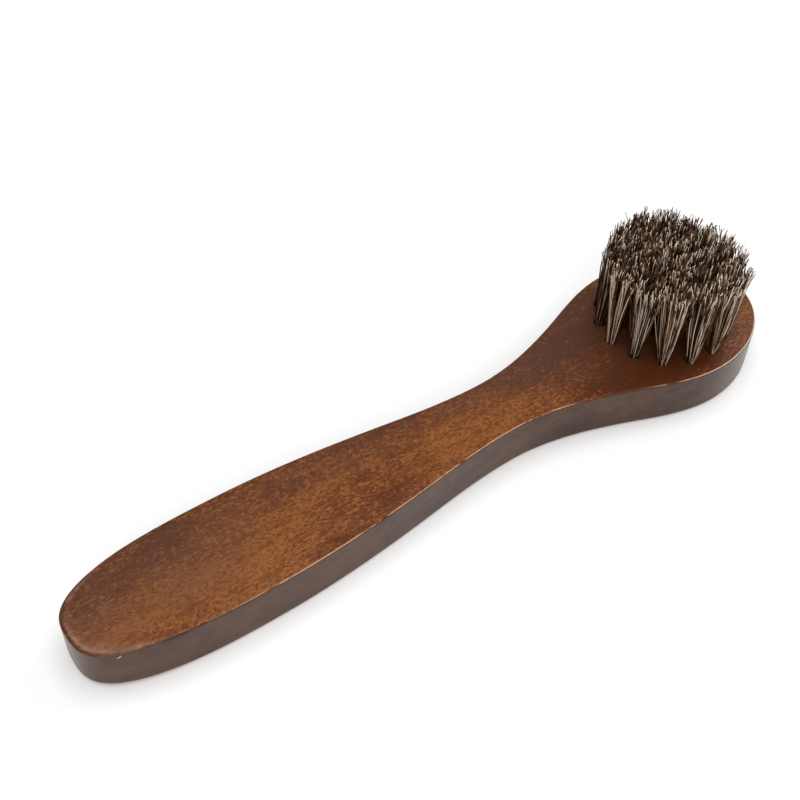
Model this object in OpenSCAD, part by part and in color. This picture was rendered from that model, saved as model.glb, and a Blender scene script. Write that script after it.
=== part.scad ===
// Shoe shine brush: a flat wooden paddle handle with a round field of horsehair
// tufts, each folded round a wire anchor in its own drilled hole.
// Underside on z = 0, origin under the middle of the tuft field, +X towards the nose.

/* [Handle outline] */
// Whole length, from the end of the grip to the nose
length = 170; // [150:1:220]
// Thickness of the board
thickness = 10.5; // [9:0.5:14]
// Widest part of the head
head_w = 38; // [36:0.5:46]
// From the middle of the tuft field to the nose
nose_len = 24; // [20:0.5:30]
// Width of the neck at its narrowest
neck_w = 14.5; // [11:0.5:18]
// From the middle of the tuft field to the narrowest part of the neck
neck_x = 48; // [42:1:60]
// Widest part of the grip
grip_w = 25; // [21:0.5:32]
// From the middle of the tuft field to the widest part of the grip
grip_x = 109; // [90:1:118]
// Fullness of the end of the grip: 2 is an ellipse, more is squarer
tip_fullness = 2.8; // [2:0.1:3.2]

/* [Handle edges] */
// Rounding of the upper edges
edge_r = 0.5; // [0.3:0.1:1.2]
// Width over which the upper face rolls down at the end of the grip
tip_roll_w = 3; // [1.5:0.1:5]
// How far the upper face rolls down at the end of the grip
tip_roll_h = 0.7; // [0.4:0.1:2]
// Length over which the roll fades away along the grip
tip_roll_len = 22; // [12:1:50]
// Rounding of the lower edges round the head, the neck and the grip
under_r = 0.8; // [0.3:0.1:1.6]
// Rounding of the lower edges at the end of the grip
tip_under_r = 1.5; // [0.5:0.1:3]
// Length over which the lower edges grow rounder towards the end of the grip
tip_under_len = 34; // [15:1:50]

/* [Tuft field] */
// From the outermost ring of tufts to the side of the head
rim_margin = 4.8; // [3.5:0.1:6.5]
// Rings of tufts round the middle one
rings = 3; // [2:1:3]
// Spacing of the tufts along a ring
tuft_pitch = 6.3; // [5.5:0.1:8]
// Turn of every ring's first tuft from the direction of the nose
ring_turn = -4; // [-13:0.5:13]
// Height of the bristles above the board
bristle_h = 19; // [12:0.5:26]
// Difference in height between the longest and the shortest strand
raggedness = 1.8; // [0:0.1:3]

/* [Strands] */
// Strands in a tuft
strands = 17; // [9:1:17]
// Thickness of a strand at its root
strand_d = 0.34; // [0.24:0.02:0.4]
// Thickness of a strand at its tip, as a share of its root
strand_taper = 0.7; // [0.4:0.05:1]
// How much wider a tuft is at its tips than at its root, towards the middle of the field
fan_out = 2.2; // [1:0.05:2.25]
// How much wider a tuft is at its tips than at its root, along its ring
fan_along = 2.8; // [1:0.05:2.85]
// Where the tufts' tips stand, as a share of their roots' distance from the middle
lean_in = 0.97; // [0.95:0.01:1.1]

/* [Fixing] */
// Diameter of a tuft hole
hole_d = 2.6; // [2.4:0.1:2.8]
// Depth of a tuft hole, without the cone that the drill leaves
hole_depth = 6.5; // [5:0.1:7]
// Half of the drill's point angle
drill_half_angle = 59; // [45:1:70]
// Gap between a tuft and the wall of its hole
tuft_clearance = 0.05; // [0.02:0.01:0.1]
// Thickness of an anchor
anchor_t = 0.4; // [0.3:0.05:0.6]
// Height of an anchor
anchor_h = 1.8; // [1.2:0.1:2.4]
// How far an anchor bites into the wood on each side of its hole
anchor_bite = 0.4; // [0.2:0.05:0.6]
// Hair that is folded under an anchor
fold_h = 0.9; // [0.6:0.1:1.2]

/* [Hidden] */
// Points along each stretch of the outline, and steps round an edge
nose_steps = 16;
bend_steps = 11;
tip_steps = 16;
edge_steps = 4;
// The handle swells from its neck in two S-curves. Each turns from hollow to full at a
// share of the way out from the neck, and is there steeper than the straight line.
head_bend = 0.64;
grip_bend = 0.34;
bend_steepness = 1.65;
// Turn from one strand to the next, which spreads them evenly over a tuft
golden_angle = 137.508;
// Strands start this far inside the top of their tuft's plug
strand_root = 0.6;
// The plug of folded hair stops this far below the mouth of its hole
plug_sink = 0.3;
// Bevel round the bottom of the plug, where the hair turns
fold_bevel = 0.4;
// Gap kept between the outermost strands and the side of the plug
strand_margin = 0.04;
round_fn = 32;
// How far the slab that cuts the flat faces reaches past the outline
slab_margin = 1;
strand_sides = 3;

tail_x = nose_len - length;
field_r = min(head_w / 2, nose_len) - rim_margin;
plug_r = hole_d / 2 - tuft_clearance;
plug_top = thickness - plug_sink;
hole_floor = thickness - hole_depth;
anchor_z = hole_floor + fold_h;
anchor_w = hole_d + 2 * anchor_bite;
strand_reach = plug_r - strand_d / 2 - strand_margin;

// Tufts, from the middle one outwards: [ring, number in the ring, angle]
function ring_r(ring) = field_r * ring / rings;
function ring_count(ring) = ring == 0 ? 1 : round(2 * PI * ring_r(ring) / tuft_pitch);
TUFTS = [
    for (ring = [0:rings])
        for (i = [0:ring_count(ring) - 1])
            [ring, i + 1, ring_turn + 360 * i / ring_count(ring)]
];
function tuft_spot(t) = ring_r(t[0]) * [cos(t[2]), sin(t[2])];
function tuft_name(t) = t[0] == 0 ? "tuft_centre" : str("tuft_ring", t[0], "_", t[1] < 10 ? "0" : "", t[1]);

// Outline of the handle

// A cubic from height y0 to y1 over a run of dx, with slopes s0 and s1 at its ends
function cubic(t, dx, y0, y1, s0, s1) =
    y0 * (1 - t) * (1 - t) * (1 + 2 * t) + y1 * t * t * (3 - 2 * t)
    + dx * (s0 * t * (1 - t) * (1 - t) - s1 * t * t * (1 - t));

// An S-curve between two widths, as a list of points from the narrow end to the wide one
function swell(x0, w0, x1, w1, bend) =
    let (
        xb = x0 + (x1 - x0) * bend,
        wb = w0 + (w1 - w0) * bend,
        slope = bend_steepness * (w1 - w0) / (x1 - x0)
    )
    concat(
        [for (i = [0:bend_steps - 1]) let (t = i / bend_steps)
            [x0 + (xb - x0) * t, cubic(t, xb - x0, w0, wb, 0, slope)]],
        [for (i = [0:bend_steps - 1]) let (t = i / bend_steps)
            [xb + (x1 - xb) * t, cubic(t, x1 - xb, wb, w1, slope, 0)]]
    );

function reversed(list) = [for (i = [len(list) - 1:-1:0]) list[i]];

nose_curve = [
    for (i = [0:nose_steps - 1]) let (a = 90 * i / nose_steps)
        [nose_len * cos(a), head_w / 2 * sin(a)]
];
head_curve = swell(-neck_x, neck_w / 2, 0, head_w / 2, head_bend);
grip_curve = swell(-neck_x, neck_w / 2, -grip_x, grip_w / 2, grip_bend);
tip_curve = [
    for (i = [0:tip_steps]) let (a = 90 * i / tip_steps)
        [
            -grip_x + (tail_x + grip_x) * pow(sin(a), 2 / tip_fullness),
            grip_w / 2 * pow(cos(a), 2 / tip_fullness)
        ]
];
// From the nose along the left side to the end of the grip
half_outline = concat(
    nose_curve,
    [[0, head_w / 2]],
    reversed(head_curve),
    [for (i = [1:len(grip_curve) - 1]) grip_curve[i]],
    tip_curve
);
// The other side is the same, mirrored, without the two points on the axis
outline = concat(
    half_outline,
    [for (i = [len(half_outline) - 2:-1:1]) [half_outline[i][0], -half_outline[i][1]]]
);

// Outward normal of the outline at one of its points
function outline_normal(i) =
    let (
        n = len(outline),
        d = outline[(i + 1) % n] - outline[(i + n - 1) % n]
    )
    [d[1], -d[0]] / norm(d);

function smooth(t) = let (u = min(max(t, 0), 1)) u * u * (3 - 2 * u);
// A size that changes from one value to another over the last stretch of the grip
function to_tip(x, from, to, run) = from + (to - from) * smooth((tail_x + run - x) / run);

// Width and height of the rounding above or below x
function edge_size(x, top) = top
    ? [to_tip(x, edge_r, tip_roll_w, tip_roll_len), to_tip(x, edge_r, tip_roll_h, tip_roll_len)]
    : to_tip(x, under_r, tip_under_r, tip_under_len) * [1, 1];

// How far an edge of that size has turned in from the side and stays below the face at step s.
// Step 0 is where it leaves the side and step 1 where it meets the face. Past that it runs
// on straight, and the slab in board() cuts it off.
function edge_turn(s, size) =
    s <= 1
        ? [size[0] * (1 - cos(90 * s)), size[1] * (1 - sin(90 * s))]
        : 2 * edge_turn(1, size) - edge_turn(1 - 1 / edge_steps, size);

// One turn of points round the handle, at step s of its upper or lower edge
function edge_ring(s, top) = [
    for (i = [0:len(outline) - 1])
        let (
            turn = edge_turn(s, edge_size(outline[i][0], top)),
            p = outline[i] - outline_normal(i) * turn[0]
        )
        [p[0], p[1], top ? thickness - turn[1] : turn[1]]
];

// The ring past the face, carried on to a height z that the slab cuts off
function lid_ring(z) = [for (p = edge_ring(2, z > 0)) [p[0], p[1], z]];

module board() {
    steps = [for (k = [0:edge_steps - 1]) k / edge_steps];
    stack = concat(
        [lid_ring(-slab_margin), edge_ring(2, false)],
        [for (s = reversed(steps)) edge_ring(s, false)],
        [for (s = steps) edge_ring(s, true)],
        [edge_ring(2, true), lid_ring(thickness + slab_margin)]
    );
    n = len(outline);
    last = len(stack) - 1;
    intersection() {
        polyhedron(
            points = [for (ring = stack) each ring],
            faces = concat(
                [[for (i = [0:n - 1]) i]],
                [[for (i = [n - 1:-1:0]) last * n + i]],
                [
                    for (k = [0:last - 1])
                        for (i = [0:n - 1])
                            let (a = k * n + i, b = k * n + (i + 1) % n)
                                each [[a, a + n, b + n], [a, b + n, b]]
                ]
            ),
            convexity = 6
        );
        slab_w = max(head_w, grip_w) + 2 * slab_margin;
        translate([tail_x - slab_margin, -slab_w / 2, 0])
            cube([length + 2 * slab_margin, slab_w, thickness]);
    }
}

// Half of a drilled hole's outline, turned about the hole's axis
module tuft_hole() {
    point = hole_d / 2 / tan(drill_half_angle);
    translate([0, 0, hole_floor])
        rotate_extrude($fn = round_fn)
            polygon([[0, -point], [hole_d / 2, 0], [hole_d / 2, hole_depth + 1], [0, hole_depth + 1]]);
}

module anchor() {
    translate([-anchor_w / 2, -anchor_t / 2, anchor_z])
        cube([anchor_w, anchor_t, anchor_h]);
}

module at_spot(t) {
    spot = tuft_spot(t);
    translate([spot[0], spot[1], 0]) children();
}

module handle() {
    color("#7a3f1e")
        difference() {
            board();
            for (t = TUFTS) at_spot(t) {
                tuft_hole();
                anchor();
            }
        }
}

module wire_anchors() {
    color("#b9b4a4")
        for (t = TUFTS) at_spot(t) anchor();
}

// The folded end of a tuft, narrower where the hair turns under its anchor
module plug() {
    plug_h = plug_top - hole_floor;
    translate([0, 0, hole_floor])
        rotate_extrude($fn = round_fn)
            polygon([[0, 0], [plug_r - fold_bevel, 0], [plug_r, fold_bevel], [plug_r, plug_h], [0, plug_h]]);
}

// A straight strand from one point to another, thinner at its tip
module strand(root, tip, turn) {
    function corner(p, r, k) =
        let (a = turn + 360 * k / strand_sides)
        [p[0] + r * cos(a), p[1] + r * sin(a), p[2]];
    n = strand_sides;
    polyhedron(
        points = concat(
            [for (k = [0:n - 1]) corner(root, strand_d / 2, k)],
            [for (k = [0:n - 1]) corner(tip, strand_d / 2 * strand_taper, k)]
        ),
        faces = concat(
            [[for (k = [0:n - 1]) k], [for (k = [n - 1:-1:0]) n + k]],
            [
                for (k = [0:n - 1])
                    let (j = (k + 1) % n)
                        each [[k, n + k, n + j], [k, n + j, j]]
            ]
        )
    );
}

module tuft(t) {
    spot = tuft_spot(t);
    out = [cos(t[2]), sin(t[2])];
    along = [-out[1], out[0]];
    cut = rands(0, raggedness, strands, 100 * t[0] + t[1]);
    // Roots and tips lie in one even spiral, which is only stretched, so that no strands cross
    function spiral(k) =
        let (r = strand_reach * sqrt((k + 0.5) / strands), a = golden_angle * k)
        [r * cos(a), r * sin(a)];
    function root(k) =
        let (u = spiral(k), p = spot + u[0] * out + u[1] * along)
        [p[0], p[1], plug_top - strand_root];
    function tip(k) =
        let (
            u = spiral(k),
            p = spot * lean_in + u[0] * fan_out * out + u[1] * fan_along * along
        )
        [p[0], p[1], thickness + bristle_h - cut[k]];
    color(t[0] == rings ? "#6f5f4c" : "#4a3a2e") {
        difference() {
            at_spot(t) plug();
            at_spot(t) anchor();
        }
        for (k = [0:strands - 1]) strand(root(k), tip(k), golden_angle * k);
    }
}

handle();
wire_anchors();
for (t = TUFTS) tuft(t);
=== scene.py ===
"""Shoe shine brush: a stained wooden paddle handle and a round field of folded horsehair tufts."""
import math
import random

import bmesh
import bpy
import numpy as np
from bpy.props import FloatProperty, FloatVectorProperty, IntProperty, PointerProperty
from mathutils import Matrix, Vector


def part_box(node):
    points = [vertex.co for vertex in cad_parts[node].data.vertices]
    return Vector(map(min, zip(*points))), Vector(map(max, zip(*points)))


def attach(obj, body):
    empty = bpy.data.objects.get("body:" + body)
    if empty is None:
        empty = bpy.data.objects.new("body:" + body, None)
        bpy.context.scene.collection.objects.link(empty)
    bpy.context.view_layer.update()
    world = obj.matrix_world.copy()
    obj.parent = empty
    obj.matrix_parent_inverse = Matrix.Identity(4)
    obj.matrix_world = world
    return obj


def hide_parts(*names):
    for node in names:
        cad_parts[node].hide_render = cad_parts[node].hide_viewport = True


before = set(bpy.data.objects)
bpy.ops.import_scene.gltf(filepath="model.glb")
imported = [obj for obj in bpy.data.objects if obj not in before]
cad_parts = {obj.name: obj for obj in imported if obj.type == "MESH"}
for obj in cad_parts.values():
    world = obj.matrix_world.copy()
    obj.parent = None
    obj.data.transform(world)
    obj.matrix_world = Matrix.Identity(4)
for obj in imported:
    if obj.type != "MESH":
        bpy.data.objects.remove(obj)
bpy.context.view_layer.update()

bl_info = {
    "name": "Shoe Shine Brush",
    "version": (1, 0, 0),
    "blender": (4, 5, 0),
    "location": "View3D > Sidebar > Shoe Brush",
    "description": "Models the finish of a wooden shoe brush with horsehair tufts",
    "category": "Add Mesh",
}

MM = 0.001
BODY = "root"
HANDLE_LOW, HANDLE_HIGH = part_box("handle")
TUFT_NODES = sorted(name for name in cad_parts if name.startswith("tuft"))


class HandleSizes(bpy.types.PropertyGroup):
    """Sizes and stain of the wooden handle"""

    length: FloatProperty(
        name="Length", description="From the end of the grip to the nose",
        default=HANDLE_HIGH[0] - HANDLE_LOW[0], unit="LENGTH",
    )
    thickness: FloatProperty(
        name="Thickness", description="Thickness of the board",
        default=HANDLE_HIGH[2] - HANDLE_LOW[2], unit="LENGTH",
    )
    head_w: FloatProperty(
        name="Head width", description="Widest part of the head",
        default=HANDLE_HIGH[1] - HANDLE_LOW[1], unit="LENGTH",
    )
    nose_len: FloatProperty(
        name="Nose", description="From the middle of the tufts to the nose",
        default=HANDLE_HIGH[0], unit="LENGTH",
    )
    neck_w: FloatProperty(
        name="Neck width", description="Narrowest part of the neck", default=14.5 * MM, unit="LENGTH",
    )
    neck_x: FloatProperty(
        name="Neck place", description="From the middle of the tufts to the narrowest part of the neck",
        default=48 * MM, unit="LENGTH",
    )
    grip_w: FloatProperty(
        name="Grip width", description="Widest part of the grip", default=25 * MM, unit="LENGTH",
    )
    grip_x: FloatProperty(
        name="Grip place", description="From the middle of the tufts to the widest part of the grip",
        default=109 * MM, unit="LENGTH",
    )
    tip_fullness: FloatProperty(
        name="Tip fullness", description="Fullness of the grip's end: 2 is an ellipse, more is squarer",
        default=2.8,
    )
    edge_r: FloatProperty(
        name="Upper rounding", description="Rounding of the upper edges", default=0.5 * MM, unit="LENGTH",
    )
    tip_roll_w: FloatProperty(
        name="Tip roll width", description="Width over which the upper face rolls down at the grip's end",
        default=3.0 * MM, unit="LENGTH",
    )
    tip_roll_h: FloatProperty(
        name="Tip roll drop", description="How far the upper face rolls down at the grip's end",
        default=0.7 * MM, unit="LENGTH",
    )
    tip_roll_len: FloatProperty(
        name="Tip roll length", description="Length over which the roll fades away along the grip",
        default=16 * MM, unit="LENGTH",
    )
    under_r: FloatProperty(
        name="Lower rounding", description="Rounding of the lower edges of the head, neck and grip",
        default=0.8 * MM, unit="LENGTH",
    )
    tip_under_r: FloatProperty(
        name="Lower tip rounding", description="Rounding of the lower edges at the grip's end",
        default=1.5 * MM, unit="LENGTH",
    )
    tip_under_len: FloatProperty(
        name="Lower tip length", description="Length over which the lower edges grow rounder",
        default=34 * MM, unit="LENGTH",
    )
    dark_stain: FloatVectorProperty(
        name="Dark stain", description="Where the stain soaked in", subtype="COLOR",
        default=(0.086, 0.0215, 0.0062),
    )
    warm_stain: FloatVectorProperty(
        name="Warm stain", description="The common colour of the stained wood", subtype="COLOR",
        default=(0.162, 0.044, 0.0085),
    )
    amber_stain: FloatVectorProperty(
        name="Amber stain", description="Where the wood shows through most", subtype="COLOR",
        default=(0.290, 0.098, 0.0220),
    )
    dull_stain: FloatVectorProperty(
        name="Dull stain", description="Where the stain has gone greyish", subtype="COLOR",
        default=(0.108, 0.050, 0.031),
    )
    # The sides' colour: a stain darkened by painted shade
    side_stain_and_shade: FloatVectorProperty(
        name="Side stain", description="The darker stain on the sides", subtype="COLOR",
        default=(0.114, 0.053, 0.029),
    )


class BristleSizes(bpy.types.PropertyGroup):
    """Sizes and colours of the horsehair"""

    field_r: FloatProperty(
        name="Field radius", description="Radius of the outermost ring of tufts",
        default=14.2 * MM, unit="LENGTH",
    )
    rings: IntProperty(name="Rings", description="Rings of tufts round the middle one", default=3)
    tuft_pitch: FloatProperty(
        name="Tuft pitch", description="Spacing of the tufts along a ring", default=6.3 * MM, unit="LENGTH",
    )
    ring_turn: FloatProperty(
        name="Ring turn", description="Turn of every ring's first tuft from the direction of the nose",
        default=math.radians(-4), subtype="ANGLE",
    )
    hole_d: FloatProperty(
        name="Hole", description="Diameter of a tuft hole", default=2.6 * MM, unit="LENGTH",
    )
    hole_depth: FloatProperty(
        name="Hole depth", description="Depth of a tuft hole without its drill point",
        default=6.5 * MM, unit="LENGTH",
    )
    anchor_z: FloatProperty(
        name="Fold height", description="Height of the anchors' lower edges above the underside",
        default=4.9 * MM, unit="LENGTH",
    )
    bristle_h: FloatProperty(
        name="Bristle height", description="Height of the longest bristles above the board",
        default=19 * MM, unit="LENGTH",
    )
    folded_hairs: IntProperty(
        name="Folded hairs", description="Hairs folded in half in one tuft", default=66,
    )
    hair_d: FloatProperty(
        name="Hair thickness", description="Thickness of a hair at its fold",
        default=0.24 * MM, unit="LENGTH",
    )
    dark_hair: FloatVectorProperty(
        name="Dark hair", description="Colour of the darkest hairs", subtype="COLOR",
        default=(0.013, 0.0052, 0.0020),
    )
    umber_hair: FloatVectorProperty(
        name="Umber hair", description="Colour of most hairs", subtype="COLOR",
        default=(0.066, 0.028, 0.0115),
    )
    brown_hair: FloatVectorProperty(
        name="Brown hair", description="Colour of the lighter hairs", subtype="COLOR",
        default=(0.300, 0.155, 0.080),
    )
    pale_hair: FloatVectorProperty(
        name="Pale hair", description="Colour of the palest hairs", subtype="COLOR",
        default=(0.97, 0.84, 0.67),
    )


class StageSizes(bpy.types.PropertyGroup):
    """Camera, floor and lamps"""

    focal_px: FloatProperty(
        name="Focal length", description="Focal length, in pixels of the photograph's frame",
        default=1188.1,
    )
    frame_px: FloatProperty(
        name="Frame", description="Side of the photograph's frame in pixels", default=800,
    )
    eye: FloatVectorProperty(
        name="Eye", description="Where the camera stands", subtype="TRANSLATION", unit="LENGTH",
        default=(-169.25 * MM, -125.80 * MM, 190.97 * MM),
    )
    azimuth: FloatProperty(
        name="Azimuth", description="Direction the camera looks in, from +X towards +Y", subtype="ANGLE",
        default=math.radians(52.75),
    )
    elevation: FloatProperty(
        name="Elevation", description="Height of the camera above the horizon, as an angle",
        subtype="ANGLE", default=math.radians(46.0),
    )
    roll: FloatProperty(
        name="Roll", description="Turn of the camera about its own axis", subtype="ANGLE",
        default=math.radians(1.849),
    )
    floor_size: FloatProperty(name="Floor", description="Side of the floor", default=6.0, unit="LENGTH")


# Shader maths and nodes


class Wire:
    """A shader socket that reads as a number or vector in Python expressions."""

    def __init__(self, paint, socket):
        self.paint = paint
        self.socket = socket

    def math(self, operation, *others):
        """Maths with this socket first."""
        return self.paint.node("ShaderNodeMath", {"operation": operation}, dict(enumerate((self, *others))))

    def math_last(self, operation, other):
        """Maths with the plain number first and this socket last."""
        return self.paint.node("ShaderNodeMath", {"operation": operation}, {0: other, 1: self})

    def __add__(self, other):
        return self.math("ADD", other)

    def __radd__(self, other):
        return self + other

    def __sub__(self, other):
        return self.math("SUBTRACT", other)

    def __rsub__(self, other):
        return self.math_last("SUBTRACT", other)

    def __mul__(self, other):
        return self.math("MULTIPLY", other)

    def __rmul__(self, other):
        return self * other

    def __truediv__(self, other):
        return self.math("DIVIDE", other)

    def __rtruediv__(self, other):
        return self.math_last("DIVIDE", other)

    def steps(self, low, high):
        """0 below low, 1 above high and a smooth rise between."""
        return self.paint.node(
            "ShaderNodeMapRange",
            {"interpolation_type": "SMOOTHSTEP"},
            {"Value": self, "From Min": low, "From Max": high},
        )


class Paint:
    """A material's node tree, with one method that adds any node."""

    def __init__(self, name):
        self.material = bpy.data.materials.new(name)
        self.material.use_nodes = True
        self.tree = self.material.node_tree
        self.shader = self.tree.nodes["Principled BSDF"]

    def node(self, kind, settings, values, output=0):
        made = self.tree.nodes.new(kind)
        for key, value in settings.items():
            if key == "stops":
                self.set_stops(made.color_ramp, value)
            else:
                setattr(made, key, value)
        for key, value in values.items():
            self.feed(made.inputs[key], value)
        return Wire(self, made.outputs[output])

    def set_stops(self, ramp, stops):
        while len(ramp.elements) < len(stops):
            ramp.elements.new(0.5)
        for element, (place, colour) in zip(ramp.elements, stops):
            element.position = place
            element.color = (*colour, 1)

    def feed(self, socket, value):
        """Links a wire to a socket, or sets the socket to a plain value."""
        if isinstance(value, Wire):
            self.tree.links.new(value.socket, socket)
        elif socket.type == "RGBA" and len(value) == 3:
            socket.default_value = (*value, 1)
        else:
            socket.default_value = value

    def set(self, **values):
        """Sets the shader's sockets, named with underscores for spaces."""
        for key, value in values.items():
            self.feed(self.shader.inputs[key.replace("_", " ")], value)

    def place(self):
        return self.node("ShaderNodeTexCoord", {}, {}, "Object")

    def axis(self, vector, index):
        """One of a vector's three numbers."""
        return self.node("ShaderNodeSeparateXYZ", {}, {"Vector": vector}, index)

    def attribute(self, name):
        """A number that the mesh holds for every point."""
        return self.node("ShaderNodeAttribute", {"attribute_name": name}, {}, "Fac")

    def mapped(self, scale, shift=(0, 0, 0)):
        return self.node("ShaderNodeMapping", {}, {"Vector": self.place(), "Scale": scale, "Location": shift})

    def noise(self, vector, scale, detail=4, rough=0.5, distortion=0.0):
        return self.node(
            "ShaderNodeTexNoise",
            {},
            {
                "Vector": vector,
                "Scale": scale,
                "Detail": detail,
                "Roughness": rough,
                "Distortion": distortion,
            },
            "Fac",
        )

    def ramp(self, factor, places, colours):
        """A colour ramp with a colour at each of its places."""
        return self.node("ShaderNodeValToRGB", {"stops": list(zip(places, colours))}, {"Fac": factor})

    def mix(self, factor, a, b):
        """Mixes two colours."""
        return self.node("ShaderNodeMix", {"data_type": "RGBA"}, {0: factor, 6: a, 7: b}, 2)

    def bump(self, height, distance, strength):
        return self.node("ShaderNodeBump", {}, {"Height": height, "Distance": distance, "Strength": strength})


# Finish of the wood. Places are in metres, in the frame of the board.

# Broad patches of stain, and one of painted shadow: middle (x, y), half sizes (x, y) and how much paler
STAIN_AND_SHADOW_PATCHES = (
    ((-0.116, -0.005), (0.020, 0.006), 0.36),
    ((-0.096, 0.003), (0.018, 0.006), 0.09),
    ((-0.046, -0.003), (0.020, 0.006), 0.24),
    ((-0.075, -0.002), (0.016, 0.006), 0.04),
    ((-0.124, 0.002), (0.010, 0.007), -0.13),
    ((-0.108, 0.009), (0.020, 0.004), -0.05),
    ((-0.078, 0.008), (0.012, 0.004), -0.10),
    ((-0.090, -0.006), (0.009, 0.005), -0.10),
    ((-0.020, 0.005), (0.016, 0.012), -0.36),
    # Painted shadow of the tufts on the wood in front of them
    ((-0.009, -0.0115), (0.013, 0.005), -0.62),
    ((-0.138, 0.003), (0.008, 0.008), 0.08),
)

# Places where the stain has gone dull and greyish: middle, half sizes and share
DULL_PATCHES = (
    ((-0.124, 0.003), (0.013, 0.007), 0.45),
    ((-0.080, 0.009), (0.022, 0.005), 0.30),
    ((-0.044, 0.006), (0.012, 0.004), 0.40),
    ((-0.018, 0.008), (0.016, 0.011), 0.42),
    ((-0.143, 0.000), (0.006, 0.012), 0.35),
)

# How fast a patch fades outwards, how ragged its edge is, and the stretch over which it fades
PATCH_SPREAD = 0.5
PATCH_RAGGED = 0.9
PATCH_FADE = (-0.2, 1.9)

# Places of the dark, warm and amber stain on the wood's colour ramp
STAIN_STOPS = (0.12, 0.45, 0.86)

FLECK = (0.42, 0.20, 0.095)
# Darkest colour of the sides, with painted shade in it
DARK_SHADED_SIDE = (0.048, 0.022, 0.014)
SCRATCHED_WOOD = (0.80, 0.70, 0.60)
# Pale edge colours: worn wood and a painted highlight, at the nose a painted glint
BARE_AND_GLINTING_EDGE = (0.64, 0.41, 0.25)
BARE_AND_GLINTING_NOSE = (0.90, 0.72, 0.54)
DARK_EDGE = (0.030, 0.012, 0.007)
# Band at the grip's end: scuffed wood and a painted highlight
SCUFFED_HIGHLIGHT_EDGE = (0.42, 0.27, 0.20)

# The short scratch: its place along the board and above the underside, and its half sizes
NICK_X = -0.1401
NICK_Z = 0.0093
NICK_RUN = 0.0008
NICK_WIDTH = 0.00018
# Where it comes in to the right of the middle line
NICK_SIDE = (0.002, 0.004)

# Stretches of the board over which the worn edge, with its painted highlight, turns paler at the nose into a
# painted glint, comes in past the grip's end, and the dark edge at the grip's end fades out
NOSE_RISE = (-0.012, 0.006)
WORN_RISE = (-0.128, -0.106)
DARK_FADE = (-0.128, -0.100)
# The shoulder, where the edge has no wear and no painted highlight
SHOULDER_X = -0.025
SHOULDER_HALF = 0.010


def patch(along, across, drift, spot, half):
    """A soft ragged oval on the board, 1 in its middle and 0 outside."""
    dx = (along - spot[0]) / half[0]
    dy = (across - spot[1]) / half[1]
    far = (dx * dx + dy * dy) * PATCH_SPREAD + drift * PATCH_RAGGED - PATCH_RAGGED / 2
    return 1 - far.steps(*PATCH_FADE)


def stained_wood(sizes):
    """Blotchy brown stain on fine-grained wood under a satin lacquer, with the sides painted darker as shade.
    """
    paint = Paint("stained wood")
    along = paint.axis(paint.place(), 0)
    across = paint.axis(paint.place(), 1)
    # Every noise is drawn out along the board by the first number of its scale
    drift = paint.noise(paint.mapped((0.7, 1, 1)), 150, 3, 0.6)
    clouds = paint.noise(paint.mapped((0.45, 1, 1)), 95, 4, 0.6, 0.3)
    blurs = paint.noise(paint.mapped((0.55, 1, 1), (0.3, 0.1, 0.05)), 430, 3, 0.65)
    dashes = paint.noise(paint.mapped((0.5, 1, 1)), 1900, 3, 0.75)
    streaks = paint.noise(paint.mapped((0.13, 1, 1), (0.5, 0.7, 0.2)), 620, 2, 0.6)
    pores = paint.noise(paint.mapped((0.45, 1, 1), (0.7, 0.3, 0.1)), 2300, 2, 0.55)
    # The grain shows in places and drowns in the stain in others
    grain = (dashes - 0.5) * (blurs.steps(0.35, 0.68) * 2.6 + 1.5)
    tone = clouds * 0.75 + blurs * 1.0 + grain + streaks * 0.5 - 0.71
    for spot, half, rise in STAIN_AND_SHADOW_PATCHES:
        tone = tone + patch(along, across, drift, spot, half) * rise
    stains = (sizes.dark_stain[:], sizes.warm_stain[:], sizes.amber_stain[:])
    colour = paint.ramp(tone, STAIN_STOPS, stains)
    for spot, half, share in DULL_PATCHES:
        dull = patch(along, across, drift, spot, half) * share
        colour = paint.mix(dull, colour, sizes.dull_stain[:])
    flecks = dashes.steps(0.58, 0.74) * (blurs * 0.6 + tone).steps(0.62, 1.05)
    colour = paint.mix(flecks * 0.45, colour, FLECK)
    pits = pores.steps(0.56, 0.70)
    colour = paint.mix(pits * 0.30, colour, sizes.dark_stain[:])
    # The two flat faces have the stain of the top, and the sides a darker colour that is painted shade,
    # mottled by the side tone
    normal = paint.node("ShaderNodeTexCoord", {}, {}, "Normal")
    face = paint.axis(normal, 2).math("ABSOLUTE").steps(0.25, 0.75)
    side_tone = clouds * 1.1 + blurs * 0.7 + dashes * 0.25 - 0.52
    side = paint.mix(side_tone.steps(0.2, 0.8), DARK_SHADED_SIDE, sizes.side_stain_and_shade[:])
    colour = paint.mix(face, side, colour)
    colour = worn_and_glinting_arris(paint, colour, clouds, along)
    colour = paint.mix(nick(paint, along, across) * 0.8, colour, SCRATCHED_WOOD)
    ripples = paint.noise(paint.mapped((0.5, 1, 1)), 700, 3, 0.6)
    height = ripples * 0.6 + dashes * 0.3 - pits * 0.35
    paint.set(
        Base_Color=colour,
        Roughness=0.27 + dashes * 0.10 + blurs * 0.08,
        Normal=paint.bump(height, distance=0.00009, strength=0.5),
        IOR=1.5,
        Specular_IOR_Level=0.14,
        Coat_Weight=0.3,
        Coat_Roughness=0.2,
    )
    return paint.material


def nick(paint, along, across):
    """A short pale scratch on the right side of the grip's end, slanting up to the arris."""
    forward = along - NICK_X
    up = paint.axis(paint.place(), 2) - NICK_Z
    run = (forward + up) / NICK_RUN
    width = (forward - up) / NICK_WIDTH
    inside = 1 - (run * run + width * width).steps(0.5, 1.0)
    return inside * (0 - across).steps(*NICK_SIDE)


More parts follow.
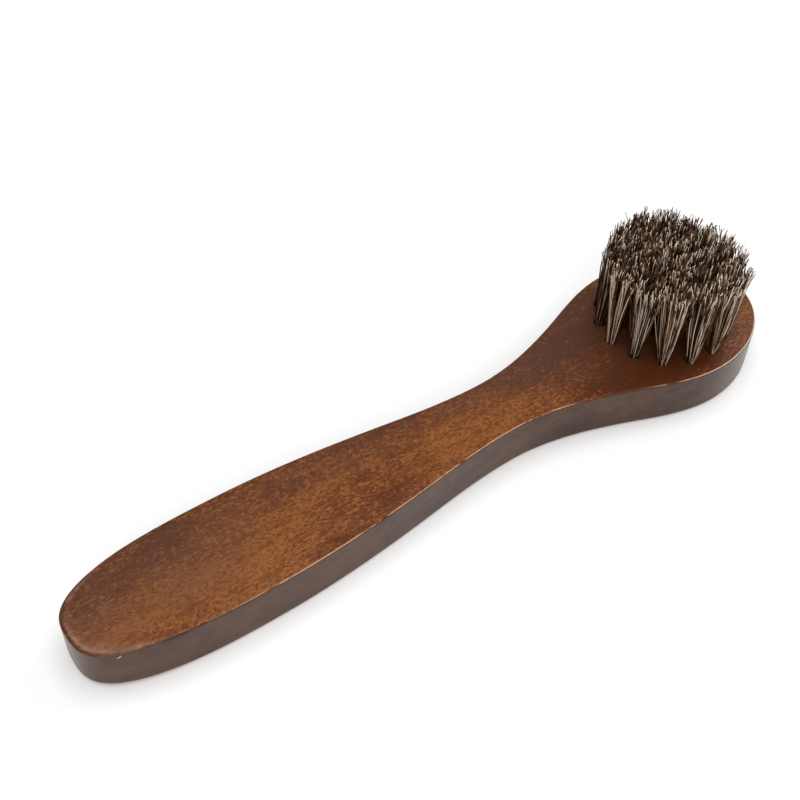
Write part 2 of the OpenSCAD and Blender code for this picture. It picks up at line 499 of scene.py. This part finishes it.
def worn_and_glinting_arris(paint, colour, clouds, along):
    """Paints a thin broken pale line on the upper arris, most at the nose, least at the shoulder: partly
    stain rubbed off, partly a painted highlight that turns to a painted glint at the nose.
    """
    arris = paint.attribute("arris")
    scuff = paint.attribute("scuff")
    breaks = paint.noise(paint.place(), 330, 3, 0.6)
    nose = along.steps(*NOSE_RISE)
    from_shoulder = (along - SHOULDER_X) / SHOULDER_HALF
    clear = (from_shoulder * from_shoulder).steps(0.2, 1.6) * along.steps(*WORN_RISE)
    worn_and_glint = arris.steps(0.2, 0.8) * (breaks + clouds * 0.5 + nose * 0.15).steps(0.58, 0.78) * clear
    bare_and_glint = paint.mix(nose, BARE_AND_GLINTING_EDGE, BARE_AND_GLINTING_NOSE)
    dark_line = arris.steps(0.1, 0.7) * (1 - along.steps(*DARK_FADE)) * 0.75
    colour = paint.mix(dark_line, colour, DARK_EDGE)
    # The scuffed band at the grip's end, partly a painted highlight
    colour = paint.mix(scuff * breaks.steps(0.35, 0.70) * 0.6, colour, SCUFFED_HIGHLIGHT_EDGE)
    return paint.mix(worn_and_glint * 0.95, colour, bare_and_glint)


# Finish of the hair, the wire and the floor

# Places of the dark, umber, brown and pale hair on the hair's colour ramp
HAIR_STOPS = (0.0, 0.30, 0.62, 1.0)
RED_HAIR = (0.105, 0.034, 0.017)
ROOT_SHADE = (0.010, 0.006, 0.004)
DRAWN_WIRE = (0.56, 0.55, 0.52)

WHITE = (1, 1, 1)
BLACK = (0, 0, 0)
# The floor as it lights the object, and the glow that lifts it to white for the camera
CARD = (0.80, 0.80, 0.80)
CARD_GLOW = (0.07, 0.07, 0.07)
# Distance from the origin over which the floor turns to plain white
CARD_FADE = (0.28, 0.60)


def horsehair(sizes):
    """Coarse hair. The tone attribute says how pale each hair is, with painted shade on the lower shafts of
    inner hairs, and the reach how far along it.
    """
    paint = Paint("horsehair")
    reach = paint.attribute("reach")
    mottle = paint.noise(paint.mapped((1, 1, 0.3)), 1300, 2, 0.5)
    hairs = (sizes.dark_hair[:], sizes.umber_hair[:], sizes.brown_hair[:], sizes.pale_hair[:])
    colour = paint.ramp(paint.attribute("tone") + mottle * 0.2 - 0.1, HAIR_STOPS, hairs)
    colour = paint.mix(paint.attribute("tint").steps(0.74, 0.80) * 0.40, colour, RED_HAIR)
    colour = paint.mix((1 - reach.steps(-0.05, 0.45)) * 0.30, colour, ROOT_SHADE)
    cut_end = reach.steps(0.965, 1.0)
    colour = paint.mix(cut_end * 0.04, colour, sizes.pale_hair[:])
    paint.set(Base_Color=colour, Roughness=0.42, Specular_IOR_Level=0.06)
    return paint.material


def drawn_wire():
    """Flat drawn wire with fine lines along it."""
    paint = Paint("drawn wire")
    lines = paint.noise(paint.mapped((0.1, 1, 3)), 9000, 2, 0.6)
    paint.set(
        Base_Color=DRAWN_WIRE,
        Metallic=1.0,
        Roughness=0.26 + lines * 0.2,
        Normal=paint.bump(lines, distance=0.000004, strength=0.4),
    )
    return paint.material


def white_card():
    """A floor that the camera sees as white, apart from the object's shadow, out to the horizon."""
    paint = Paint("white card")
    away = paint.node("ShaderNodeVectorMath", {"operation": "LENGTH"}, {0: paint.place()}, "Value")
    far = away.steps(*CARD_FADE)
    camera = paint.node("ShaderNodeLightPath", {}, {}, "Is Camera Ray")
    glossy = paint.node("ShaderNodeLightPath", {}, {}, "Is Glossy Ray")
    seen = camera.math("MAXIMUM", glossy)
    paint.set(
        Base_Color=paint.mix(seen, CARD, paint.mix(far, WHITE, BLACK)),
        Emission_Color=paint.mix(seen, BLACK, paint.mix(far, CARD_GLOW, WHITE)),
        Emission_Strength=1.0,
        Roughness=0.8,
        Specular_IOR_Level=0.0,
    )
    return paint.material


# Shapes


HEAD_BEND = 0.64
GRIP_BEND = 0.34
BEND_STEEPNESS = 1.65
NOSE_STEPS = 44
BEND_STEPS = 26
TIP_STEPS = 44


def cubic(t, run, y0, y1, slope0, slope1):
    """A cubic from y0 to y1 over a run, with the given slopes at its ends."""
    back = 1 - t
    return (
        y0 * back * back * (1 + 2 * t)
        + y1 * t * t * (3 - 2 * t)
        + run * (slope0 * t * back * back - slope1 * t * t * back)
    )


def swell(x0, w0, x1, w1, bend):
    """An S-curve between two widths, as points from the narrow end to the wide one."""
    xb = x0 + (x1 - x0) * bend
    wb = w0 + (w1 - w0) * bend
    slope = BEND_STEEPNESS * (w1 - w0) / (x1 - x0)
    shares = [i / BEND_STEPS for i in range(BEND_STEPS)]
    first = [(x0 + (xb - x0) * t, cubic(t, xb - x0, w0, wb, 0, slope)) for t in shares]
    second = [(xb + (x1 - xb) * t, cubic(t, x1 - xb, wb, w1, slope, 0)) for t in shares]
    return first + second


def handle_outline(sizes):
    """The board's outline, from the nose along the left side and back along the right."""
    tail_x = sizes.nose_len - sizes.length
    half_head = sizes.head_w / 2
    half_grip = sizes.grip_w / 2
    nose = []
    for i in range(NOSE_STEPS):
        a = math.pi / 2 * i / NOSE_STEPS
        nose.append((sizes.nose_len * math.cos(a), half_head * math.sin(a)))
    head = swell(-sizes.neck_x, sizes.neck_w / 2, 0, half_head, HEAD_BEND)
    grip = swell(-sizes.neck_x, sizes.neck_w / 2, -sizes.grip_x, half_grip, GRIP_BEND)
    tip = []
    for i in range(TIP_STEPS):
        a = math.pi / 2 * i / TIP_STEPS
        x = -sizes.grip_x + (tail_x + sizes.grip_x) * math.sin(a) ** (2 / sizes.tip_fullness)
        tip.append((x, half_grip * math.cos(a) ** (2 / sizes.tip_fullness)))
    left = nose + [(0, half_head)] + head[::-1] + grip[1:] + tip
    right = [(x, -y) for x, y in reversed(left[1:])]
    return left + [(tail_x, 0)] + right


def smooth_share(t):
    """A share from 0 to 1 that starts and ends gently."""
    t = min(max(t, 0), 1)
    return t * t * (3 - 2 * t)


def edge_size(sizes, x, top):
    """Width and height of the board's rounded edges, which change towards the end of the grip."""
    tail_x = sizes.nose_len - sizes.length
    if top:
        share = smooth_share((tail_x + sizes.tip_roll_len - x) / sizes.tip_roll_len)
        w = sizes.edge_r + (sizes.tip_roll_w - sizes.edge_r) * share
        h = sizes.edge_r + (sizes.tip_roll_h - sizes.edge_r) * share
        return w, h
    share = smooth_share((tail_x + sizes.tip_under_len - x) / sizes.tip_under_len)
    r = sizes.under_r + (sizes.tip_under_r - sizes.under_r) * share
    return r, r


# Upward tilt of the surface in the middle of the worn line and of the scuffed band, both partly painted
# highlight, and half widths
ARRIS_TILT = 0.75
ARRIS_HALF = 0.23
SCUFF_HIGHLIGHT_TILT = 0.972
SCUFF_HIGHLIGHT_HALF = 0.028
# Points this close to the top plane belong to it
TOP_TOLERANCE = 0.001 * MM


def mark_arris(mesh, sizes):
    """Marks the middle of the upper edge's rounding and, at the grip's end, the band that is scuffed and
    painted with a highlight.
    """
    tail_x = sizes.nose_len - sizes.length
    arris = []
    scuff = []
    for vert, normal in zip(mesh.vertices, mesh.vertex_normals):
        tilt = normal.vector.z
        rounded = sizes.thickness / 2 < vert.co.z < sizes.thickness - TOP_TOLERANCE
        to_tip = smooth_share((tail_x + sizes.tip_roll_len - vert.co.x) / sizes.tip_roll_len)
        line = max(1 - abs(tilt - ARRIS_TILT) / ARRIS_HALF, 0)
        band = smooth_share(1 - abs(tilt - SCUFF_HIGHLIGHT_TILT) / SCUFF_HIGHLIGHT_HALF)
        arris.append(line if rounded else 0)
        scuff.append(to_tip * band if rounded else 0)
    for key, values in (("arris", arris), ("scuff", scuff)):
        mesh.attributes.new(key, "FLOAT", "POINT").data.foreach_set("value", values)


def tuft_spots(sizes):
    """Tufts by node name: (middle of the hole, direction away from the middle of the field)."""
    spots = {"tuft_centre": (Vector((0, 0)), Vector((1, 0)))}
    for ring in range(1, sizes.rings + 1):
        r = sizes.field_r * ring / sizes.rings
        count = round(2 * math.pi * r / sizes.tuft_pitch)
        for i in range(count):
            a = sizes.ring_turn + 2 * math.pi * i / count
            out = Vector((math.cos(a), math.sin(a)))
            spots[f"tuft_ring{ring}_{i + 1:02d}"] = (out * r, out)
    return spots


def finished(name, bm, material, node):
    """Makes a piece from a bmesh. It replaces a CAD node and rides on the body."""
    mesh = bpy.data.meshes.new(name)
    bm.to_mesh(mesh)
    bm.free()
    return placed(name, mesh, material, node)


def placed(name, mesh, material, node):
    """Puts a mesh in the scene as a piece that replaces a CAD node."""
    piece = bpy.data.objects.new(name, mesh)
    bpy.context.collection.objects.link(piece)
    mesh.materials.clear()
    mesh.materials.append(material)
    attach(piece, BODY)
    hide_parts(node)
    return piece


RIM_SEGMENTS = 8
BEVEL_SIZE = 0.5 * MM
WALL_MARGIN = 0.1 * MM
HOLE_SEGMENTS = 32
SUPPORT_INSET = 0.06 * MM
DRILL_HALF_ANGLE = math.radians(59)


def board_mesh(sizes, bristles):
    """The board: an outline drawn up, its rims rounded, and a drilled hole for each tuft."""
    bm = bmesh.new()
    thickness = sizes.thickness
    outline = handle_outline(sizes)
    verts = [bm.verts.new((x, y, 0)) for x, y in outline]
    base = bm.faces.new(verts)
    drawn = bmesh.ops.extrude_face_region(bm, geom=[base], use_keep_orig=True)
    top_verts = [g for g in drawn["geom"] if isinstance(g, bmesh.types.BMVert)]
    bmesh.ops.translate(bm, verts=top_verts, vec=(0, 0, thickness))
    bmesh.ops.recalc_face_normals(bm, faces=bm.faces)
    rims = [e for e in bm.edges if abs(e.verts[0].co.z - e.verts[1].co.z) < thickness / 2]
    bmesh.ops.bevel(
        bm, geom=rims, offset=BEVEL_SIZE, offset_type="OFFSET", affect="EDGES",
        segments=RIM_SEGMENTS, profile=0.5, material=-1, clamp_overlap=False, loop_slide=False,
    )
    shape_rims(bm, sizes, outline)
    for z in (sizes.tip_under_r + WALL_MARGIN, thickness - sizes.tip_roll_h - WALL_MARGIN):
        whole = list(bm.verts) + list(bm.edges) + list(bm.faces)
        bmesh.ops.bisect_plane(bm, geom=whole, plane_co=(0, 0, z), plane_no=(0, 0, 1))
    for face in [f for f in bm.faces if len(f.verts) > HOLE_SEGMENTS]:
        bmesh.ops.inset_region(bm, faces=[face], thickness=SUPPORT_INSET, use_even_offset=True)
    drill(bm, sizes, bristles)
    for face in bm.faces:
        face.smooth = True
    return bm


def shape_rims(bm, sizes, outline):
    """Stretches the even rounding to the width and height that it has at each place."""
    feet = np.array([Vector(p)[:] for p in outline])
    run = np.roll(feet, -1, axis=0) - np.roll(feet, 1, axis=0)
    normals = np.stack([run[:, 1], -run[:, 0]], axis=1)
    normals /= np.linalg.norm(normals, axis=1)[:, None]
    for vert in bm.verts:
        x, y, z = vert.co
        gap = feet - (x, y)
        nearest = int(np.argmin((gap ** 2).sum(axis=1)))
        foot, normal = feet[nearest], normals[nearest]
        inset = float(np.dot(foot - (x, y), normal))
        up = z > sizes.thickness / 2
        drop = sizes.thickness - z if up else z
        w, h = edge_size(sizes, foot[0], up)
        inward = inset * (w / BEVEL_SIZE - 1)
        vert.co.x -= normal[0] * inward
        vert.co.y -= normal[1] * inward
        drop *= h / BEVEL_SIZE
        vert.co.z = sizes.thickness - drop if up else drop


def drill(bm, sizes, bristles):
    """Opens the top face and draws a blind hole with a drill point down from it for each tuft."""
    top = max((f for f in bm.faces if f.normal.z > 0.9), key=lambda f: len(f.verts) + f.calc_area())
    rim = list(top.edges)
    bmesh.ops.delete(bm, geom=[top], context="FACES_ONLY")
    mouths = []
    for spot, _ in tuft_spots(bristles).values():
        made = bmesh.ops.create_circle(
            bm, segments=HOLE_SEGMENTS, radius=bristles.hole_d / 2,
            matrix=Matrix.Translation((spot.x, spot.y, sizes.thickness)),
        )
        mouth = list({e for v in made["verts"] for e in v.link_edges})
        mouths.append((spot, mouth))
    every = rim + [e for _, mouth in mouths for e in mouth]
    bmesh.ops.triangle_fill(bm, edges=every, use_beauty=True, normal=(0, 0, 1))
    point_h = bristles.hole_d / 2 / math.tan(DRILL_HALF_ANGLE)
    for spot, mouth in mouths:
        walls = bmesh.ops.extrude_edge_only(bm, edges=mouth)
        low_verts = [g for g in walls["geom"] if isinstance(g, bmesh.types.BMVert)]
        low_edges = [g for g in walls["geom"] if isinstance(g, bmesh.types.BMEdge)]
        bmesh.ops.translate(bm, verts=low_verts, vec=(0, 0, -bristles.hole_depth))
        low_edges = [e for e in low_edges if all(v in low_verts for v in e.verts)]
        point = bmesh.ops.extrude_edge_only(bm, edges=low_edges)
        point_verts = [g for g in point["geom"] if isinstance(g, bmesh.types.BMVert)]
        floor_z = sizes.thickness - bristles.hole_depth - point_h
        bmesh.ops.pointmerge(bm, verts=point_verts, merge_co=(spot.x, spot.y, floor_z))
    bmesh.ops.recalc_face_normals(bm, faces=bm.faces)


# How much wider a tuft is at its tips than at its hole, outwards and along its ring
FAN_OUT = 2.3
FAN_ALONG = 3.1
# Where the tips stand, as a share of their hole's distance from the middle
LEAN_IN = 0.97
# Most that a hair may fall short, and how far the longest stand above the bristle height
RAGGEDNESS = 1.9 * MM
LONGEST = 0.7 * MM
# More than 1 makes most hairs long and few short
CUT_BIAS = 1.3
SHAFT_POINTS = 8
FOLD_POINTS = 7
# How closely a tuft's hairs gather at the mouth of its hole
GATHERED = 0.87
# Bundles within a tuft, the turn in radians from one to the next, and how strongly they pull
CLUMPS = 17
CLUMP_TURN = 2.39996
CLUMP_PULL = 0.15
TIP_SPREAD = 0.45 * MM
# How far the tips of each half of a tuft move aside
SPLIT = 0.2 * MM
# Curl of the last stretch of a hair, and where it starts
CURL_SPREAD = 0.42 * MM
CURL_FROM = 0.76
# Bend of a whole hair and its finer waves, in millimetres
BOW = 0.28
KINK = 0.07
# Share of the hairs that go astray, and how far sideways
STRAY_SHARE = 0.035
STRAY_SPREAD = 3.6 * MM
TUBE_SIDES = 4
# Room that the anchor takes beside the fold, and how deep the outermost folds hang
FOLD_ROOM = 0.22 * MM
FOLD_DEPTH = 0.75 * MM
# Thickness of a hair as a share of the usual one, and what it loses towards its tip
GIRTHS = (0.7, 1.15)
TAPER = 0.22
# Share of its height where a hair comes out of the painted shade, the stretch over which it does, and
# how much darker, as painted shade, a hair is below that where it stands inside the field
UNSHADED_FROM = 0.78
UNSHADED_RUN = 0.18
INNER_SHADE = 0.6
# Share of the field's radius where the outer hairs begin, and over which they become the most
EDGE_FROM = 0.92
EDGE_RUN = 0.18
# Shares of pale hairs, and of pale and middling ones, and what is added to each at the edge
PALE_SHARE = 0.20
PALE_AT_EDGE = 0.14
MIDDLING_SHARE = 0.37
MIDDLING_AT_EDGE = 0.20
PALE_TONES = (0.84, 1.0)
MIDDLING_TONES = (0.30, 0.62)
DARK_TONES = (0.0, 0.20)
# Where use has pushed the tufts over: angle round the field in degrees, its spread, and how far
# outwards, so less than 0 is inwards
PUSHES = ((116, 30, -1.9 * MM), (12, 45, -0.9 * MM))


def clump_spots(rng):
    """Places in a unit disc that a tuft's hairs gather towards."""
    spots = []
    for k in range(CLUMPS):
        r = math.sqrt((k + 0.5) / CLUMPS) * rng.uniform(0.85, 1.1)
        a = CLUMP_TURN * k + rng.uniform(-0.3, 0.3)
        spots.append((Vector((r * math.cos(a), r * math.sin(a))), rng.uniform(-0.4, 0) * MM))
    return spots


def settled(spot, sizes):
    """How far use has pushed a tuft's tips over: inwards at the far side, and less at the nose."""
    angle = math.degrees(math.atan2(spot.y, spot.x))
    pushed = 0
    for middle, width, push in PUSHES:
        pushed += push * math.exp(-(((angle - middle) / width) ** 2))
    return spot / sizes.field_r * pushed


def hair_end(rng, spot, out, u, sizes, top_z, clumps):
    """Points from the mouth of the hole to a tip, for a hair at u across its hole."""
    along = Vector((-out.y, out.x))
    reach = sizes.hole_d / 2
    home = Vector((u.dot(out), u.dot(along))) / reach
    gather, lift = min(clumps, key=lambda c: (c[0] - home).length)
    aim = home.lerp(gather, CLUMP_PULL) * reach
    stray = rng.random() < STRAY_SHARE
    sway = rng.uniform(-STRAY_SPREAD, STRAY_SPREAD) if stray else rng.gauss(0, TIP_SPREAD)
    side = aim.y * FAN_ALONG + math.copysign(SPLIT, u.y) + sway
    tip = spot * LEAN_IN + out * (aim.x * FAN_OUT + rng.gauss(0, TIP_SPREAD)) + along * side
    tip += settled(spot, sizes)
    z1 = top_z + sizes.bristle_h + LONGEST - rng.random() ** CUT_BIAS * RAGGEDNESS + lift
    root = spot + u * GATHERED
    bow = Vector((rng.gauss(0, BOW), rng.gauss(0, BOW))) * MM
    kink = Vector((rng.gauss(0, KINK), rng.gauss(0, KINK))) * MM
    curl = Vector((rng.gauss(0, CURL_SPREAD), rng.gauss(0, CURL_SPREAD)))
    points = []
    for i in range(SHAFT_POINTS + 1):
        t = i / SHAFT_POINTS
        p = root.lerp(tip, t) + bow * math.sin(math.pi * t) + kink * math.sin(3 * math.pi * t)
        p += curl * (max(t - CURL_FROM, 0) / (1 - CURL_FROM)) ** 2
        points.append((p.x, p.y, top_z + (z1 - top_z) * t))
    return points


def folded_hair(rng, spot, out, sizes, top_z, clumps):
    """One hair's path: down from a tip, round under the anchor and up to its other tip."""
    reach = sizes.hole_d / 2 - sizes.hair_d * 0.7
    free = FOLD_ROOM + sizes.hair_d / 2
    while True:
        x = rng.uniform(-reach, reach)
        y = rng.uniform(free, reach)
        if math.hypot(x, y) < reach:
            break
    up = hair_end(rng, spot, out, Vector((x, y)), sizes, top_z, clumps)
    back = hair_end(rng, spot, out, Vector((x, -y)), sizes, top_z, clumps)
    deep = FOLD_DEPTH * y / reach
    turn = []
    for i in range(FOLD_POINTS + 1):
        a = math.pi * i / FOLD_POINTS
        turn.append((spot.x + x, spot.y - y * math.cos(a), sizes.anchor_z - deep * math.sin(a)))
    return back[::-1] + turn + up


def tuft_mesh(name, spot, out, sizes, top_z, seed):
    """A tuft's hairs as thin tapered tubes, with a tone, a reach and a tint for every point."""
    rng = random.Random(seed)
    curve = bpy.data.curves.new(name, "CURVE")
    curve.dimensions = "3D"
    curve.bevel_depth = sizes.hair_d / 2
    curve.bevel_resolution = 0
    tones = []
    reaches = []
    tints = []
    clumps = clump_spots(rng)
    for _ in range(sizes.folded_hairs):
        path = folded_hair(rng, spot, out, sizes, top_z, clumps)
        spline = curve.splines.new("POLY")
        spline.points.add(len(path) - 1)
        tone, edge = hair_tone(rng, path[0], sizes)
        girth = rng.uniform(*GIRTHS)
        tints += [rng.random()] * len(path)
        for point, place in zip(spline.points, path):
            reach = max((place[2] - top_z) / sizes.bristle_h, 0)
            point.co = (*place, 1)
            point.radius = girth * (1 - TAPER * reach ** 2)
            # Painted shade: a hair inside the field is darker below its top stretch
            unshaded = smooth_share((reach - UNSHADED_FROM) / UNSHADED_RUN)
            tones.append(tone * (1 - INNER_SHADE * (1 - edge) * (1 - unshaded)))
            reaches.append(reach)
    holder = bpy.data.objects.new(name, curve)
    mesh = bpy.data.meshes.new_from_object(holder)
    bpy.data.objects.remove(holder)
    bpy.data.curves.remove(curve)
    bm = bmesh.new()
    bm.from_mesh(mesh)
    ends = [e for e in bm.edges if e.is_boundary]
    bmesh.ops.holes_fill(bm, edges=ends, sides=TUBE_SIDES)
    bm.to_mesh(mesh)
    bm.free()
    for key, values in (("tone", tones), ("reach", reaches), ("tint", tints)):
        layer = mesh.attributes.new(key, "FLOAT", "POINT")
        layer.data.foreach_set("value", np.repeat(np.array(values, np.float32), TUBE_SIDES))
    mesh.shade_smooth()
    return mesh


def hair_tone(rng, tip, sizes):
    """Paleness of a hair and how far out it is. Most are dark, and more of the outermost are pale."""
    edge = smooth_share((math.hypot(tip[0], tip[1]) / sizes.field_r - EDGE_FROM) / EDGE_RUN)
    kind = rng.random()
    if kind < PALE_SHARE + PALE_AT_EDGE * edge:
        return rng.uniform(*PALE_TONES), edge
    if kind < MIDDLING_SHARE + MIDDLING_AT_EDGE * edge:
        return rng.uniform(*MIDDLING_TONES), edge
    return rng.uniform(*DARK_TONES), edge


# Operators


# Each lamp's place, side and power in watts. All of them face the origin.
LAMPS = {
    "overhead lamp": ((-0.06, 0.0, 1.1), 1.1, 7.7),
    "side lamp": ((1.05, 0.10, 0.66), 0.8, 4.4),
    "front lamp": ((-0.70, -0.85, 0.75), 0.9, 6.5),
}
SURROUND_STRENGTH = 0.25
BACKDROP_STRENGTH = 1.0
SENSOR_WIDTH = 36
NEAREST_SEEN = 0.01
# Edges of the board that turn by more than this stay sharp
SHARP_ANGLE = math.radians(40)


class SHOEBRUSH_OT_handle(bpy.types.Operator):
    """Model the wooden handle with its rounded edges and tuft holes"""

    bl_idname = "shoebrush.handle"
    bl_label = "Wooden Handle"

    def execute(self, context):
        sizes = context.scene.shoebrush_handle
        bm = board_mesh(sizes, context.scene.shoebrush_bristles)
        piece = finished("wooden_handle", bm, stained_wood(sizes), "handle")
        mark_arris(piece.data, sizes)
        piece.data.set_sharp_from_angle(angle=SHARP_ANGLE)
        return {"FINISHED"}


class SHOEBRUSH_OT_tufts(bpy.types.Operator):
    """Model each tuft as horsehair folded round its anchor"""

    bl_idname = "shoebrush.tufts"
    bl_label = "Horsehair Tufts"

    def execute(self, context):
        sizes = context.scene.shoebrush_bristles
        top_z = context.scene.shoebrush_handle.thickness
        spots = tuft_spots(sizes)
        hair = horsehair(sizes)
        for seed, node in enumerate(TUFT_NODES):
            spot, out = spots[node]
            mesh = tuft_mesh(f"{node}_hair", spot, out, sizes, top_z, seed)
            placed(f"{node}_hair", mesh, hair, node)
        return {"FINISHED"}


class SHOEBRUSH_OT_anchors(bpy.types.Operator):
    """Give the wire anchors in the holes their drawn finish"""

    bl_idname = "shoebrush.anchors"
    bl_label = "Wire Anchors"

    def execute(self, context):
        wire = drawn_wire()
        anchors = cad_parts["wire_anchors"]
        for slot in anchors.material_slots:
            slot.material = wire
        return {"FINISHED"}


class SHOEBRUSH_OT_stage(bpy.types.Operator):
    """Set up the floor, the lamps and the camera"""

    bl_idname = "shoebrush.stage"
    bl_label = "Floor, Lamps and Camera"

    def execute(self, context):
        sizes = context.scene.shoebrush_stage
        self.add_floor(sizes)
        for name, (place, size, power) in LAMPS.items():
            self.add_softbox(name, place, size, power)
        self.add_world(context.scene)
        self.add_camera(context.scene, sizes)
        context.scene.view_settings.view_transform = "Standard"
        return {"FINISHED"}

    def add_floor(self, sizes):
        bm = bmesh.new()
        bmesh.ops.create_grid(bm, x_segments=1, y_segments=1, size=sizes.floor_size / 2)
        mesh = bpy.data.meshes.new("floor")
        bm.to_mesh(mesh)
        bm.free()
        floor = bpy.data.objects.new("floor", mesh)
        mesh.materials.append(white_card())
        bpy.context.collection.objects.link(floor)

    def add_softbox(self, name, place, size, power):
        light = bpy.data.lights.new(name, "AREA")
        light.shape = "SQUARE"
        light.size = size
        light.energy = power
        lamp = bpy.data.objects.new(name, light)
        lamp.location = place
        lamp.rotation_euler = (-Vector(place)).to_track_quat("-Z", "Y").to_euler()
        bpy.context.collection.objects.link(lamp)

    def add_world(self, scene):
        """White light from all round, and a plain white backdrop for the camera."""
        world = bpy.data.worlds.new("white studio")
        world.use_nodes = True
        nodes = world.node_tree.nodes
        links = world.node_tree.links
        surround = nodes["Background"]
        surround.inputs["Color"].default_value = (*WHITE, 1)
        surround.inputs["Strength"].default_value = SURROUND_STRENGTH
        backdrop = nodes.new("ShaderNodeBackground")
        backdrop.inputs["Color"].default_value = (*WHITE, 1)
        backdrop.inputs["Strength"].default_value = BACKDROP_STRENGTH
        seen = nodes.new("ShaderNodeLightPath")
        choice = nodes.new("ShaderNodeMixShader")
        links.new(seen.outputs["Is Camera Ray"], choice.inputs["Fac"])
        links.new(surround.outputs["Background"], choice.inputs[1])
        links.new(backdrop.outputs["Background"], choice.inputs[2])
        links.new(choice.outputs["Shader"], nodes["World Output"].inputs["Surface"])
        scene.world = world

    def add_camera(self, scene, sizes):
        lens = bpy.data.cameras.new("camera")
        lens.sensor_width = SENSOR_WIDTH
        lens.lens = sizes.focal_px / sizes.frame_px * lens.sensor_width
        lens.clip_start = NEAREST_SEEN
        camera = bpy.data.objects.new("camera", lens)
        flat = math.cos(sizes.elevation)
        ahead = Vector(
            (flat * math.cos(sizes.azimuth), flat * math.sin(sizes.azimuth), -math.sin(sizes.elevation))
        )
        turn = ahead.to_track_quat("-Z", "Y").to_matrix() @ Matrix.Rotation(sizes.roll, 3, "Z")
        camera.matrix_world = Matrix.Translation(Vector(sizes.eye)) @ turn.to_4x4()
        bpy.context.collection.objects.link(camera)
        scene.camera = camera


class SHOEBRUSH_PT_panel(bpy.types.Panel):
    """Lists the brush's pieces in the 3D view's sidebar"""

    bl_label = "Shoe Shine Brush"
    bl_idname = "SHOEBRUSH_PT_panel"
    bl_space_type = "VIEW_3D"
    bl_region_type = "UI"
    bl_category = "Shoe Brush"

    def draw(self, context):
        for operator in OPERATORS:
            self.layout.operator(operator.bl_idname)
        for key in GROUPS:
            group = getattr(context.scene, key)
            column = self.layout.column()
            for name in group.__annotations__:
                column.prop(group, name)


GROUPS = {
    "shoebrush_handle": HandleSizes,
    "shoebrush_bristles": BristleSizes,
    "shoebrush_stage": StageSizes,
}
OPERATORS = (SHOEBRUSH_OT_handle, SHOEBRUSH_OT_tufts, SHOEBRUSH_OT_anchors, SHOEBRUSH_OT_stage)
CLASSES = (*GROUPS.values(), *OPERATORS, SHOEBRUSH_PT_panel)


def register():
    for cls in CLASSES:
        bpy.utils.register_class(cls)
    for key, group in GROUPS.items():
        setattr(bpy.types.Scene, key, PointerProperty(type=group))


def unregister():
    for key in GROUPS:
        delattr(bpy.types.Scene, key)
    for cls in reversed(CLASSES):
        bpy.utils.unregister_class(cls)


def main():
    register()
    bpy.ops.shoebrush.handle()
    bpy.ops.shoebrush.tufts()
    bpy.ops.shoebrush.anchors()
    bpy.ops.shoebrush.stage()


if __name__ == "__main__":
    main()
